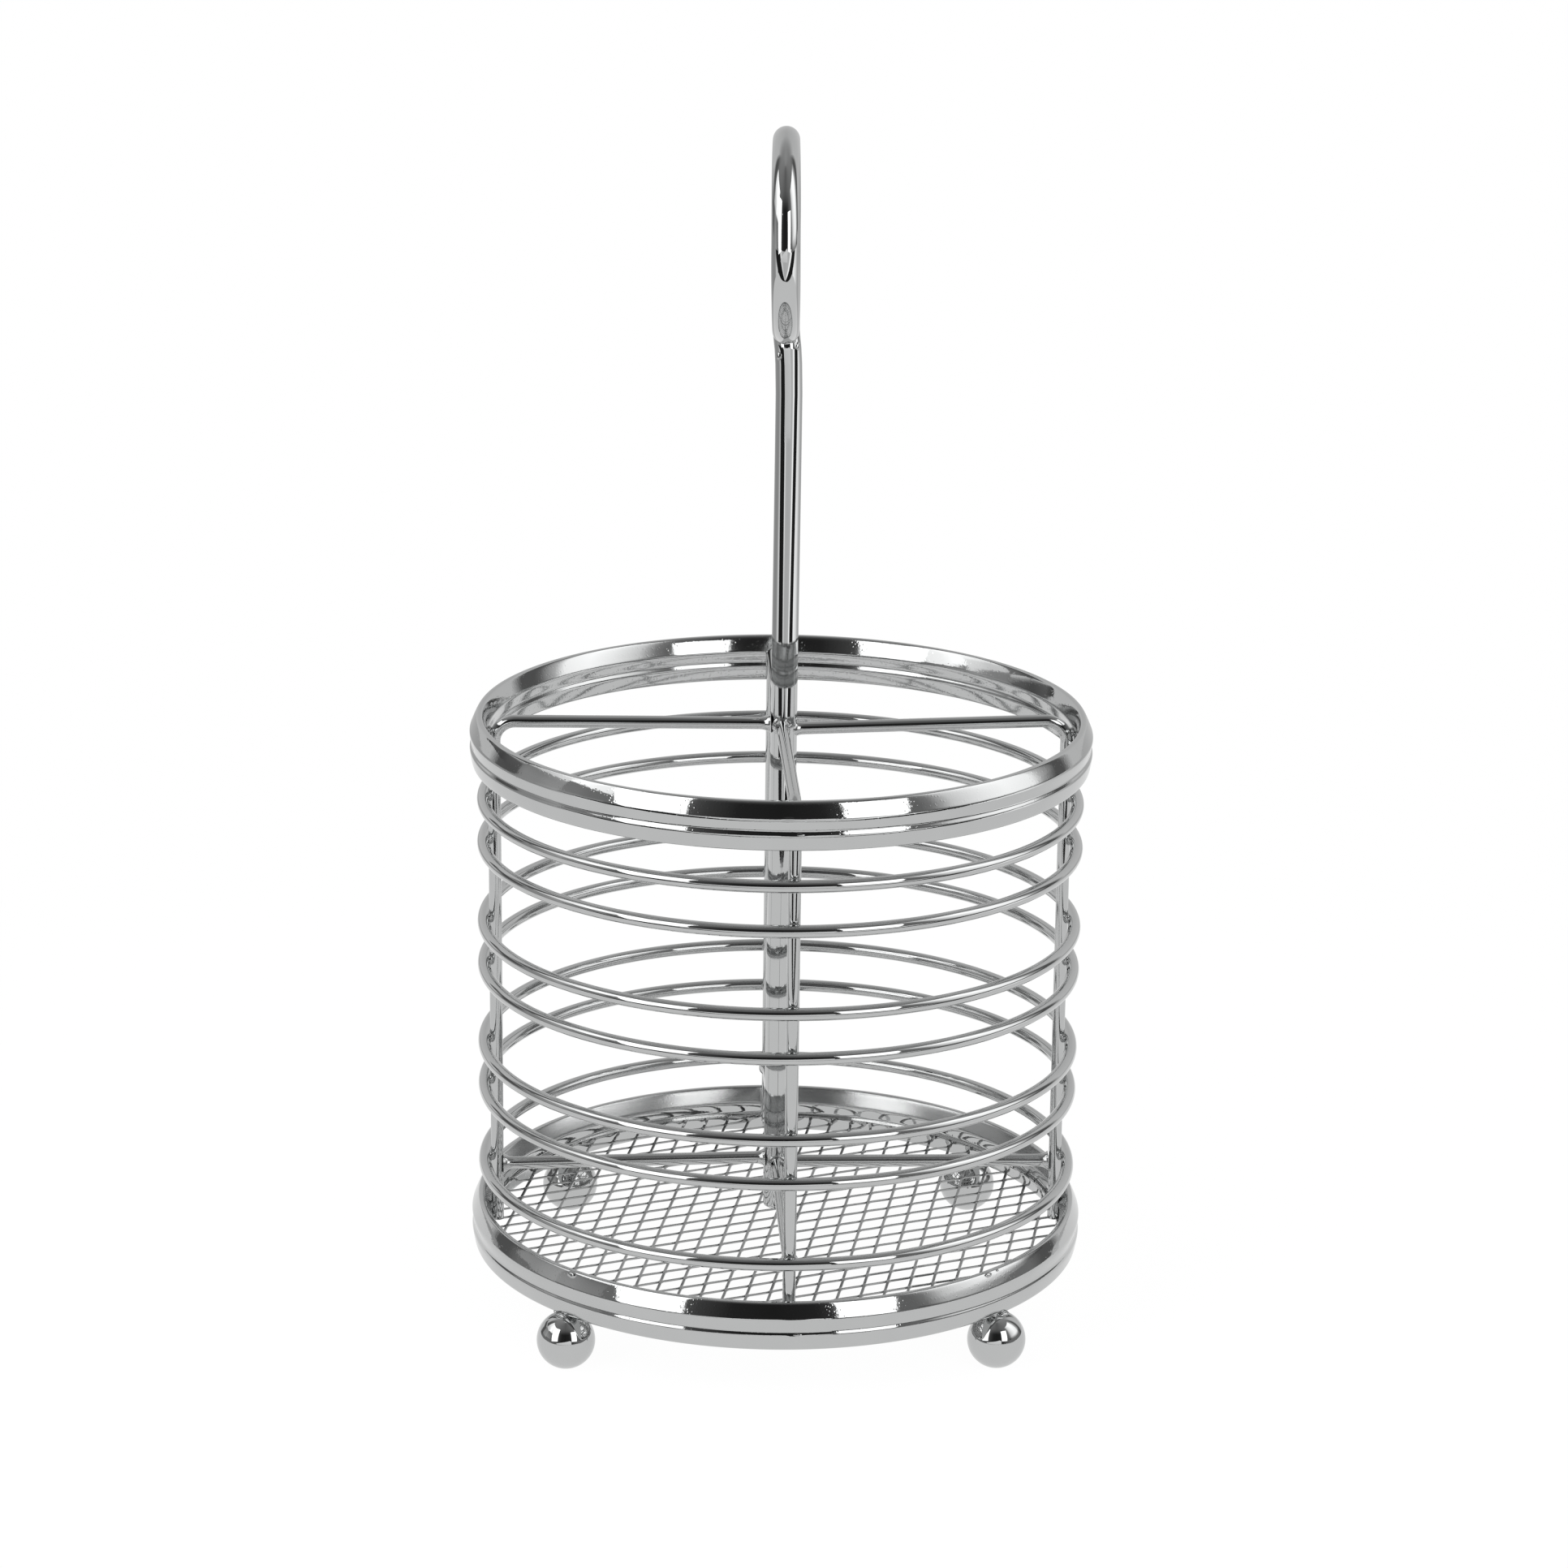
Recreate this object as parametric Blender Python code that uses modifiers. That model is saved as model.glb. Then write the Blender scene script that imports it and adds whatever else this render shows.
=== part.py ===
# Cutlery caddy: a round basket of chromed steel wire, split into four compartments, on four ball
# feet. A rod stands in the middle and ends in the eye that the caddy is carried by.
# Metres, +Z up, the origin on the ground under the post, the front towards -Y.
import math

import bmesh
import bpy
from mathutils import Vector

mm = 0.001

# Overall sizes
total_height = 264.0 * mm        # ground to the top of the carrying eye
wall_height = 122.0 * mm         # lower edge of the base ring to the upper edge of the rim
wire_diameter = 2.8 * mm         # wire rings, dividers and lower bars
post_diameter = 5.8 * mm
weld_gap = 0.3 * mm              # clearance between pieces that are welded together

# Hoops: the rim and the base ring are rolled from one moulded strip
hoop_outer_radius = 68.5 * mm
hoop_thickness = 4.4 * mm
hoop_height = 10.6 * mm
# One side of the strip's section from the crest down: half width, height
hoop_section_shares = (
    (0.22, 1.00),                # crest
    (0.34, 0.97),
    (0.97, 0.73),                # sloping upper face
    (1.00, 0.69),
    (1.00, 0.53),                # upright land
    (0.66, 0.47),                # bottom of the groove
    (0.97, 0.36),
    (1.00, 0.33),                # lower bead
    (1.00, 0.10),
    (0.84, 0.03),
    (0.50, 0.00),
)

# Wire rings: pairs under the rim, and one single ring over the base ring
ring_pair_count = 3
ring_pair_spacing = 9.9 * mm
rim_to_first_ring = 8.6 * mm     # lower edge of the rim to the middle of the wire
base_to_last_ring = 7.8 * mm     # upper edge of the base ring to the middle of the wire

# Dividers: a bar under the rim that turns down into an upright, and a straight bar near the floor
divider_drop = 2.5 * mm          # upper edge of the rim to the middle of the bar
divider_bend_radius = 4.4 * mm
lower_bar_rise = 14.3 * mm       # top of the mesh to the middle of the bar

# Floor of expanded metal
mesh_rise = 2.6 * mm             # lower edge of the base ring to the middle of the sheet
mesh_thickness = 0.8 * mm
mesh_strand = 1.0 * mm
mesh_edge_width = 0.9 * mm
diamond_length = 13.4 * mm
diamond_width = 7.3 * mm
diamond_heading = math.radians(52)
smallest_gap_share = 0.12        # gaps cut smaller than this by the edge stay closed

# Centre post and carrying eye
post_floor_clearance = 2.7 * mm
post_dome_height = 1.4 * mm
eye_outer_diameter = 48.2 * mm
neck_bend_radius = 8.0 * mm

# Ball feet
ball_diameter = 12.5 * mm
ball_flat_radius = 1.6 * mm      # worn and plated flat that the caddy stands on
foot_neck_radius = 2.7 * mm

# Fineness of the round shapes
hoop_segments = 48
ring_segments = 40
wire_sides = 8
wire_bevel_resolution = 2
post_bevel_resolution = 4
foot_segments = 16
ball_steps = 10
bend_steps = 5
neck_steps = 6
eye_steps = 36
dome_steps = 3
merge_distance = 0.001 * mm
eye_end_step = math.radians(0.5)

# Sizes worked out from those above
wire_radius = wire_diameter / 2
post_radius = post_diameter / 2
ball_radius = ball_diameter / 2
contact_radius = hoop_outer_radius - hoop_thickness      # what the uprights touch from inside
ring_radius = contact_radius + wire_radius
upright_radius = contact_radius - weld_gap - wire_radius
foot_circle_radius = hoop_outer_radius - hoop_thickness / 2
ball_centre = math.sqrt(ball_radius ** 2 - ball_flat_radius ** 2)
base_bottom = ball_centre + ball_radius + weld_gap
base_top = base_bottom + hoop_height
rim_top = base_bottom + wall_height
rim_bottom = rim_top - hoop_height
mesh_top = base_bottom + mesh_rise + mesh_thickness / 2
mesh_radius = contact_radius - weld_gap
divider_height = rim_top - divider_drop
lower_bar_height = mesh_top + lower_bar_rise
post_seat = post_radius + weld_gap                       # where the bars stop short of the post

quarter_turn = math.pi / 2
side_azimuths = {'right': 0.0, 'back': quarter_turn, 'left': 2 * quarter_turn, 'front': 3 * quarter_turn}
corner_azimuths = {
    'back_right': quarter_turn / 2,
    'back_left': 3 * quarter_turn / 2,
    'front_left': 5 * quarter_turn / 2,
    'front_right': 7 * quarter_turn / 2,
}


def clear_scene():
    for old in list(bpy.data.objects):
        bpy.data.objects.remove(old, do_unlink=True)


def chrome(name, brightness, roughness):
    material = bpy.data.materials.new(name + '_chrome')
    material.use_nodes = True
    shader = material.node_tree.nodes['Principled BSDF']
    shader.inputs['Base Color'].default_value = (brightness, brightness, brightness, 1.0)
    shader.inputs['Metallic'].default_value = 1.0
    shader.inputs['Roughness'].default_value = roughness
    return material


def add_part(part, name, brightness=0.62, roughness=0.06):
    part.name = name
    part.data.name = name
    for owner in list(part.users_collection):
        owner.objects.unlink(part)
    parts.objects.link(part)
    part.data.materials.clear()
    part.data.materials.append(chrome(name, brightness, roughness))
    return part


def smooth(part, angle=math.radians(40)):
    part.data.shade_smooth()
    part.data.set_sharp_from_angle(angle=angle)
    return part


def tube(points, radius, bevel_resolution, widths=None):
    curve = bpy.data.curves.new('tube', 'CURVE')
    curve.dimensions = '3D'
    curve.bevel_depth = radius
    curve.bevel_resolution = bevel_resolution
    curve.use_fill_caps = True
    spline = curve.splines.new('POLY')
    spline.points.add(len(points) - 1)
    for index, (target, point) in enumerate(zip(spline.points, points)):
        target.co = (*point, 1.0)
        target.radius = widths[index] if widths else 1.0
    return bpy.data.objects.new('tube', curve)


def turned(outline, segments, closed):
    """A profile in the XZ plane, listed down its outer side, turned about the Z axis."""
    mesh = bpy.data.meshes.new('turned')
    shape = bmesh.new()
    corners = [shape.verts.new((x, 0.0, z)) for x, z in outline]
    for start, end in zip(corners, corners[1:]):
        shape.edges.new((start, end))
    if closed:
        shape.edges.new((corners[-1], corners[0]))
    shape.to_mesh(mesh)
    shape.free()
    part = bpy.data.objects.new('turned', mesh)
    screw = part.modifiers.new('Screw', 'SCREW')
    screw.axis = 'Z'
    screw.angle = 2 * math.pi
    screw.steps = segments
    screw.render_steps = segments
    screw.use_merge_vertices = True
    screw.merge_threshold = merge_distance
    screw.use_smooth_shade = True
    return part


def arc_points(centre, radius, start, end, steps):
    """Points on an arc in a plane; the two axes are whatever the caller takes them for."""
    turns = [start + (end - start) * step / steps for step in range(steps + 1)]
    return [Vector((centre[0] + radius * math.cos(t), centre[1] + radius * math.sin(t))) for t in turns]


# Hoops
def hoop_outline():
    middle = hoop_outer_radius - hoop_thickness / 2
    half = hoop_thickness / 2
    outer = [(middle + half * width, hoop_height * height) for width, height in hoop_section_shares]
    inner = [(middle - half * width, hoop_height * height) for width, height in hoop_section_shares]
    return outer + inner[::-1]


def add_hoop(name, bottom):
    part = turned(hoop_outline(), hoop_segments, closed=True)
    part.location.z = bottom
    return add_part(part, name)


# Wire rings
def ring_heights():
    first = rim_bottom - rim_to_first_ring
    last = base_top + base_to_last_ring
    pitch = (first - last) / ring_pair_count
    heights = []
    for pair in range(ring_pair_count):
        upper = first - pair * pitch
        heights.extend((upper, upper - ring_pair_spacing))
    return heights + [last]


def add_wire_ring(name, height):
    bpy.ops.mesh.primitive_torus_add(
        major_radius=ring_radius,
        minor_radius=wire_radius,
        major_segments=ring_segments,
        minor_segments=wire_sides,
        location=(0.0, 0.0, height),
    )
    return smooth(add_part(bpy.context.object, name))


# Dividers
def divider_path():
    corner = (upright_radius - divider_bend_radius, divider_height - divider_bend_radius)
    bend = arc_points(corner, divider_bend_radius, quarter_turn, 0.0, bend_steps)
    inner_end = Vector((post_seat, divider_height))
    foot = Vector((upright_radius, mesh_top + weld_gap))
    return [(x, 0.0, z) for x, z in [inner_end, *bend, foot]]


def add_divider(name, azimuth):
    part = tube(divider_path(), wire_radius, wire_bevel_resolution)
    part.rotation_euler.z = azimuth
    return add_part(part, name)


def add_lower_bar(name, azimuth):
    inner_end = post_seat
    outer_end = upright_radius - wire_radius - weld_gap
    middle = (inner_end + outer_end) / 2
    bpy.ops.mesh.primitive_cylinder_add(
        vertices=wire_sides,
        radius=wire_radius,
        depth=outer_end - inner_end,
        location=(middle * math.cos(azimuth), middle * math.sin(azimuth), lower_bar_height),
        rotation=(0.0, quarter_turn, azimuth),
    )
    return smooth(add_part(bpy.context.object, name))


# Centre post and carrying eye
def eye_point(centre_height, radius, turn):
    return Vector((radius * math.cos(turn), centre_height + radius * math.sin(turn)))


def post_path():
    """The rod's middle line as (y, z): up the post, back round the neck, and round the eye."""
    eye_radius = eye_outer_diameter / 2 - post_radius
    eye_centre = total_height - eye_outer_diameter / 2
    bend_rise = math.sqrt(eye_radius ** 2 + 2 * neck_bend_radius * eye_radius)
    lean = math.asin(neck_bend_radius / (neck_bend_radius + eye_radius))
    neck_centre = (neck_bend_radius, eye_centre - bend_rise)
    neck = arc_points(neck_centre, neck_bend_radius, math.pi, quarter_turn + lean, neck_steps)

    start = lean - quarter_turn
    end = 3 * quarter_turn
    reach = post_radius + weld_gap
    while True:
        lips = [eye_point(eye_centre, eye_radius + side, end) for side in (-post_radius, 0.0, post_radius)]
        nearest = min((lip - point).length for lip in lips for point in neck)
        if nearest >= reach:
            break
        end -= eye_end_step
    eye = arc_points((0.0, eye_centre), eye_radius, start, end, eye_steps)
    return neck + eye[1:]


def add_post():
    bottom = mesh_top + post_floor_clearance
    dome = []
    widths = []
    for step in range(dome_steps):
        turn = quarter_turn * (step + 1) / (dome_steps + 1)
        dome.append(Vector((0.0, bottom + post_dome_height * (1 - math.cos(turn)))))
        widths.append(math.sin(turn))
    shoulder = Vector((0.0, bottom + post_dome_height))
    line = dome + [shoulder] + post_path()
    widths += [1.0] * (len(line) - len(widths))
    points = [(0.0, y, z) for y, z in line]
    return add_part(tube(points, post_radius, post_bevel_resolution, widths), 'centre_post_handle')


# Floor of expanded metal
def clip_to_circle(corners, radius, sides):
    """Cut a convex polygon to a regular polygon about the origin."""
    for side in range(sides):
        turn = 2 * math.pi * (side + 0.5) / sides
        outward = Vector((math.cos(turn), math.sin(turn)))
        limit = radius * math.cos(math.pi / sides)
        kept = []
        for here, there in zip(corners, corners[1:] + corners[:1]):
            depth_here = limit - here.dot(outward)
            depth_there = limit - there.dot(outward)
            if depth_here >= 0.0:
                kept.append(here)
            if depth_here * depth_there < 0.0:
                kept.append(here.lerp(there, depth_here / (depth_here - depth_there)))
        corners = kept
        if not corners:
            break
    return corners


def polygon_area(corners):
    pairs = zip(corners, corners[1:] + corners[:1])
    return abs(sum(here.x * there.y - here.y * there.x for here, there in pairs)) / 2


def diamond_gaps():
    """The gaps of the mesh: diamonds in rows, each inset by half a strand and cut to the edge."""
    along = Vector((math.cos(diamond_heading), math.sin(diamond_heading)))
    across = Vector((-along.y, along.x))
    long_half = along * diamond_length / 2
    short_half = across * diamond_width / 2
    inset = long_half.length * short_half.length / (long_half + short_half).length
    gap_scale = 1 - mesh_strand / 2 / inset
    open_radius = mesh_radius - mesh_edge_width
    full_area = polygon_area([long_half, short_half, -long_half, -short_half]) * gap_scale ** 2
    reach = math.ceil(open_radius / short_half.length)
    gaps = []
    for row in range(-reach, reach + 1):
        for column in range(-reach, reach + 1):
            if (row + column) % 2:
                continue
            middle = long_half * row + short_half * column
            if middle.length > open_radius + long_half.length:
                continue
            diamond = [middle + gap_scale * arm for arm in (long_half, short_half, -long_half, -short_half)]
            gap = clip_to_circle(diamond, open_radius, hoop_segments)
            if len(gap) > 2 and polygon_area(gap) > smallest_gap_share * full_area:
                gaps.append(gap)
    return gaps


def add_outline(curve, corners):
    spline = curve.splines.new('POLY')
    spline.points.add(len(corners) - 1)
    for target, corner in zip(spline.points, corners):
        target.co = (corner.x, corner.y, 0.0, 1.0)
    spline.use_cyclic_u = True


def add_mesh_floor():
    sheet = bpy.data.curves.new('sheet', 'CURVE')
    sheet.dimensions = '2D'
    sheet.fill_mode = 'BOTH'
    sheet.extrude = mesh_thickness / 2
    add_outline(sheet, arc_points((0.0, 0.0), mesh_radius, 0.0, 2 * math.pi, hoop_segments)[:-1])
    for gap in diamond_gaps():
        add_outline(sheet, gap)
    part = bpy.data.objects.new('sheet', sheet)
    part.location.z = mesh_top - mesh_thickness / 2
    return add_part(part, 'mesh_floor', brightness=0.5, roughness=0.18)


# Ball feet
def foot_outline():
    """Down the outside: the weld neck, then the ball to the flat that it stands on."""
    neck_top = ball_centre + ball_radius
    shoulder = math.acos(foot_neck_radius / ball_radius)
    flat = -math.asin(ball_centre / ball_radius)
    ball = arc_points((0.0, ball_centre), ball_radius, shoulder, flat, ball_steps)
    return [(0.0, neck_top), (foot_neck_radius, neck_top), *ball, (0.0, 0.0)]


def add_ball_foot(name, azimuth):
    part = turned(foot_outline(), foot_segments, closed=False)
    part.location = (foot_circle_radius * math.cos(azimuth), foot_circle_radius * math.sin(azimuth), 0.0)
    part.rotation_euler.z = azimuth
    return add_part(part, name)


clear_scene()
parts = bpy.data.collections.new('cutlery_caddy')
bpy.context.scene.collection.children.link(parts)

add_hoop('top_rim', rim_bottom)
add_hoop('base_ring', base_bottom)
for number, ring_height in enumerate(ring_heights(), start=1):
    add_wire_ring(f'wire_ring_{number}', ring_height)
for side, side_azimuth in side_azimuths.items():
    add_divider(f'divider_{side}', side_azimuth)
    add_lower_bar(f'lower_bar_{side}', side_azimuth)
add_post()
add_mesh_floor()
for corner_name, corner_azimuth in corner_azimuths.items():
    add_ball_foot(f'ball_foot_{corner_name}', corner_azimuth)
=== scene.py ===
import math

import bmesh
import bpy
from mathutils import Matrix, Vector, noise


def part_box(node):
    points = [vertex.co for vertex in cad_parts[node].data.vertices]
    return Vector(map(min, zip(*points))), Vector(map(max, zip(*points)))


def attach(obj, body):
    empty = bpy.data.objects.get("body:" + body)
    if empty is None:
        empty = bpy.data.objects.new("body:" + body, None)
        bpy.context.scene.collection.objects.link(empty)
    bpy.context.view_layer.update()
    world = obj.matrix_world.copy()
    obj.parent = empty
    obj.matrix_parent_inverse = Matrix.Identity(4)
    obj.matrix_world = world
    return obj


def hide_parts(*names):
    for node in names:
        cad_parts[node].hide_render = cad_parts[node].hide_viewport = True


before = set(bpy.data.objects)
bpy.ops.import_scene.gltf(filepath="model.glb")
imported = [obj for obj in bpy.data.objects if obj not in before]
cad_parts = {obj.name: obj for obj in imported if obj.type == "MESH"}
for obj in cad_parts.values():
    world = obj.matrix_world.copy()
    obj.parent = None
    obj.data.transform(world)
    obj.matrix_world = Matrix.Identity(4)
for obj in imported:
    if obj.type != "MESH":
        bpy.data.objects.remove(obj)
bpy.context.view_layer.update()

# Chromed cutlery caddy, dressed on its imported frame. Metres, +Z up, front towards -Y.
mm = 0.001
scene = bpy.context.scene
print("frame loaded:", len(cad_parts), "nodes")


def nodeBox(name):
    low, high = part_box(name)
    return Vector(low), Vector(high)


rimLow, rimHigh = nodeBox("top_rim")
baseLow, _ = nodeBox("base_ring")
barLow, barHigh = nodeBox("divider_right")
lowBarLow, lowBarHigh = nodeBox("lower_bar_right")
postLow, postHigh = nodeBox("centre_post_handle")
netLow, netHigh = nodeBox("mesh_floor")
ringBoxes = [nodeBox(f"wire_ring_{number}") for number in range(1, 8)]

hoopRadius = rimHigh.x
hoopHeight = rimHigh.z - rimLow.z
wireRadius = (ringBoxes[0][1].z - ringBoxes[0][0].z) / 2
ringRadius = ringBoxes[0][1].x - wireRadius
ringHeights = [(low.z + high.z) / 2 for low, high in ringBoxes]
uprightRadius = barHigh.x - wireRadius
barHeight = barHigh.z - wireRadius
lowBarHeight = (lowBarLow.z + lowBarHigh.z) / 2
postRadius = postHigh.x
eyeRadius = postHigh.y - postRadius
eyeCentre = postHigh.z - postHigh.y
netHeight = (netLow.z + netHigh.z) / 2
footPlaces = {}
for corner in ("front_left", "front_right", "back_left", "back_right"):
    low, high = nodeBox(f"ball_foot_{corner}")
    footPlaces[corner] = (low + high) / 2
sideTurns = {"right": 0.0, "back": 90.0, "left": 180.0, "front": 270.0}


def linear(hexColour):
    channels = []
    for start in (1, 3, 5):
        value = int(hexColour[start:start + 2], 16) / 255
        channels.append(value / 12.92 if value <= 0.04045 else ((value + 0.055) / 1.055) ** 2.4)
    return (*channels, 1.0)


def grey(value):
    return (value, value, value, 1.0)


# Every node comes from here: an input takes a value or the output of another node
def addNode(tree, kind, inputs=None, **settings):
    node = tree.nodes.new(kind)
    for name, value in settings.items():
        setattr(node, name, value)
    for name, value in (inputs or {}).items():
        if isinstance(value, bpy.types.NodeSocket):
            tree.links.new(value, node.inputs[name])
        else:
            node.inputs[name].default_value = value
    return node


def maths(tree, operation, *values):
    return addNode(tree, "ShaderNodeMath", dict(enumerate(values)), operation=operation).outputs[0]


def vectorMaths(tree, operation, *values):
    inputs = (0, 3) if operation == "SCALE" else (0, 1)
    node = addNode(tree, "ShaderNodeVectorMath", dict(zip(inputs, values)), operation=operation)
    return node.outputs[1 if operation == "LENGTH" else 0]


def mapped(tree, value, fromLow, fromHigh, toLow=0.0, toHigh=1.0, kind="LINEAR"):
    return addNode(tree, "ShaderNodeMapRange", {
        "Value": value, "From Min": fromLow, "From Max": fromHigh, "To Min": toLow, "To Max": toHigh},
        interpolation_type=kind).outputs[0]


def mixed(tree, share, first, second):
    return addNode(tree, "ShaderNodeMix", {0: share, 6: first, 7: second}, data_type="RGBA").outputs[2]


# Greys over a share of 0 to 1, from stops of place and brightness
def ramped(tree, share, stops):
    node = addNode(tree, "ShaderNodeValToRGB", {"Fac": share})
    elements = node.color_ramp.elements
    while len(elements) > 1:
        elements.remove(elements[0])
    for index, (place, value) in enumerate(stops):
        element = elements[0] if index == 0 else elements.new(place)
        element.position = place
        element.color = grey(value)
    return node.outputs[0]


def newTree(name, sizes):
    tree = bpy.data.node_groups.new(name, "GeometryNodeTree")
    tree.interface.new_socket("Geometry", in_out="INPUT", socket_type="NodeSocketGeometry")
    tree.interface.new_socket("Geometry", in_out="OUTPUT", socket_type="NodeSocketGeometry")
    for label, kind in sizes.items():
        tree.interface.new_socket(label, in_out="INPUT", socket_type="NodeSocket" + kind)
    return tree, addNode(tree, "NodeGroupInput").outputs


# Moves points by noise centred on zero
def wandered(tree, geometry, seed, scale, detail, amount):
    field = addNode(tree, "ShaderNodeTexNoise", {
        "W": seed, "Scale": scale, "Detail": detail}, noise_dimensions="4D")
    centred = vectorMaths(tree, "SUBTRACT", field.outputs["Color"], (0.5, 0.5, 0.5))
    shift = vectorMaths(tree, "SCALE", centred, amount)
    return addNode(tree, "GeometryNodeSetPosition", {"Geometry": geometry, "Offset": shift}).outputs[0]


def softened(tree, geometry):
    return addNode(tree, "GeometryNodeSetShadeSmooth", {
        "Geometry": geometry, "Shade Smooth": True}).outputs[0]


def closeTree(tree, geometry, material):
    real = addNode(tree, "GeometryNodeRealizeInstances", {"Geometry": geometry})
    dressed = addNode(tree, "GeometryNodeSetMaterial", {
        "Geometry": real.outputs[0], "Material": material})
    addNode(tree, "NodeGroupOutput", {"Geometry": dressed.outputs[0]})


def addObject(name, data):
    item = bpy.data.objects.new(name, data)
    scene.collection.objects.link(item)
    return item


# Runs a tree on a curve or mesh and leaves a plain mesh in its place
def settle(source, tree, values, name):
    modifier = source.modifiers.new(tree.name, "NODES")
    modifier.node_group = tree
    for item in tree.interface.items_tree:
        if item.item_type == "SOCKET" and item.in_out == "INPUT" and item.name in values:
            modifier[item.identifier] = values[item.name]
    graph = bpy.context.evaluated_depsgraph_get()
    mesh = bpy.data.meshes.new_from_object(source.evaluated_get(graph), depsgraph=graph)
    source.modifiers.clear()
    bpy.data.objects.remove(source)
    mesh.name = name
    return addObject(name, mesh)


def meshPiece(name, shape, material, smooth=True):
    mesh = bpy.data.meshes.new(name)
    bmesh.ops.recalc_face_normals(shape, faces=shape.faces)
    shape.to_mesh(mesh)
    shape.free()
    mesh.materials.append(material)
    if smooth:
        mesh.shade_smooth()
    return addObject(name, mesh)


# Quads between two closed rows of points
def bridge(shape, row, following):
    for index in range(len(row)):
        after = (index + 1) % len(row)
        shape.faces.new((row[index], row[after], following[after], following[index]))


def turned(vector, degrees):
    return Matrix.Rotation(math.radians(degrees), 3, "Z") @ Vector(vector)


def finishPiece(piece, slot, *nodes):
    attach(piece, "root")
    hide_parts(*nodes)


plate = dict(
    cloudRange=(0.3, 0.7),       # of the cloud noise
    finishDrift=(0.8, 1.3),      # roughness over that range, as shares of a finish's own
    dullBlend=0.4 * mm,
    dullBelow=0.3,               # share of a hoop's dullness that stays below its sloping side
)


def fineNoise(tree, place, size, detail, roughness=0.5):
    field = addNode(tree, "ShaderNodeTexNoise", {
        "Vector": place, "Scale": 1 / (size * mm), "Detail": detail, "Roughness": roughness})
    return field.outputs["Fac"]


# Round dots strewn over the surface, with a height in their middle and one around them
def dots(tree, place, spacing, size, middle, around):
    cells = addNode(tree, "ShaderNodeTexVoronoi", {"Vector": place, "Scale": 1 / (spacing * mm)})
    return mapped(tree, cells.outputs["Distance"], 0.0, size / spacing, middle, around, "SMOOTHSTEP")


def bumped(tree, height, depth, under=None):
    node = addNode(tree, "ShaderNodeBump", {"Height": height, "Distance": depth * mm, "Strength": 1.0})
    if under is not None:
        tree.links.new(under, node.inputs["Normal"])
    return node.outputs[0]


# Grain pressed in by the rolls, and a duller plate on the inside of a hoop, above all over its slope
def rolledGrain(tree, place, look, finish, skin):
    grains = dots(tree, place, look["grainSpacing"], look["grainSize"], 1.0, 0.0)
    skin = bumped(tree, grains, look["grainDepth"], skin)
    radial = vectorMaths(tree, "LENGTH", vectorMaths(tree, "MULTIPLY", place, (1.0, 1.0, 0.0)))
    inside = mapped(tree, radial, look["dullRadius"], look["brightRadius"], look["dullRoughness"], 0.0)
    height = addNode(tree, "ShaderNodeSeparateXYZ", {0: place}).outputs["Z"]
    upper = mapped(tree, height, look["dullHeight"] - plate["dullBlend"], look["dullHeight"],
                   plate["dullBelow"])
    return maths(tree, "MAXIMUM", finish, maths(tree, "MULTIPLY", inside, upper)), skin


# One recipe for plated steel: waves left by the forming tool, orange peel of the plate, few pits.
# Sizes and depths are in mm
def platedSteel(name, look):
    material = bpy.data.materials.new(name)
    material.use_nodes = True
    tree = material.node_tree
    shader = tree.nodes["Principled BSDF"]
    place = addNode(tree, "ShaderNodeTexCoord").outputs["Object"]
    cloud = fineNoise(tree, place, look["cloudSize"], 2.0)
    tint = mixed(tree, cloud, linear(look["colour"]), linear(look["cloudColour"]))
    clear, cloudy = (look["roughness"] * share for share in plate["finishDrift"])
    finish = mapped(tree, cloud, *plate["cloudRange"], clear, cloudy)
    skin = bumped(tree, fineNoise(tree, place, look["waveSize"], 1.0), look["waveDepth"])
    skin = bumped(tree, fineNoise(tree, place, look["peelSize"], 3.0, 0.55), look["peelDepth"], skin)
    pits = dots(tree, place, look["pitSpacing"], look["pitSize"], 0.0, 1.0)
    skin = bumped(tree, pits, look["pitDepth"], skin)
    if "grainSize" in look:
        finish, skin = rolledGrain(tree, place, look, finish, skin)
    tree.links.new(tint, shader.inputs["Base Color"])
    tree.links.new(finish, shader.inputs["Roughness"])
    tree.links.new(skin, shader.inputs["Normal"])
    shader.inputs["Metallic"].default_value = 1.0
    return material


chromeHex = "#c5c6c6"        # bright chromium plate, about 56% reflecting

# Rolled strip: the plate follows faint roll marks, so softbox edges break up into grains
stripLook = dict(
    colour=chromeHex, cloudColour="#bfc0c0", cloudSize=9.0, roughness=0.045,
    peelSize=0.7, peelDepth=0.0040, waveSize=6.0, waveDepth=0.010,
    pitSpacing=5.0, pitSize=0.16, pitDepth=0.05,
    grainSpacing=0.75, grainSize=0.26, grainDepth=0.006,
    dullRadius=hoopRadius - 4.1 * mm, brightRadius=hoopRadius - 2.2 * mm, dullHeight=0.0,
    dullRoughness=0.07)
stripChrome = platedSteel("brightChromeOnRolledStrip", stripLook)
# The same strip at the base: the bath reached its inner slope less, so mirrored edges blur there
shadedStripChrome = platedSteel("thinChromeOnRolledStrip", dict(
    stripLook, dullRadius=hoopRadius - 3.4 * mm, dullHeight=baseLow.z + 0.68 * hoopHeight,
    dullRoughness=0.22))
# Drawn wire: smooth along its length, mirror bright
wireChrome = platedSteel("brightChromeOnDrawnWire", dict(
    colour=chromeHex, cloudColour="#c0c1c1", cloudSize=7.0, roughness=0.04,
    peelSize=0.9, peelDepth=0.0016, waveSize=5.0, waveDepth=0.008,
    pitSpacing=7.0, pitSize=0.14, pitDepth=0.04))
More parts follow.
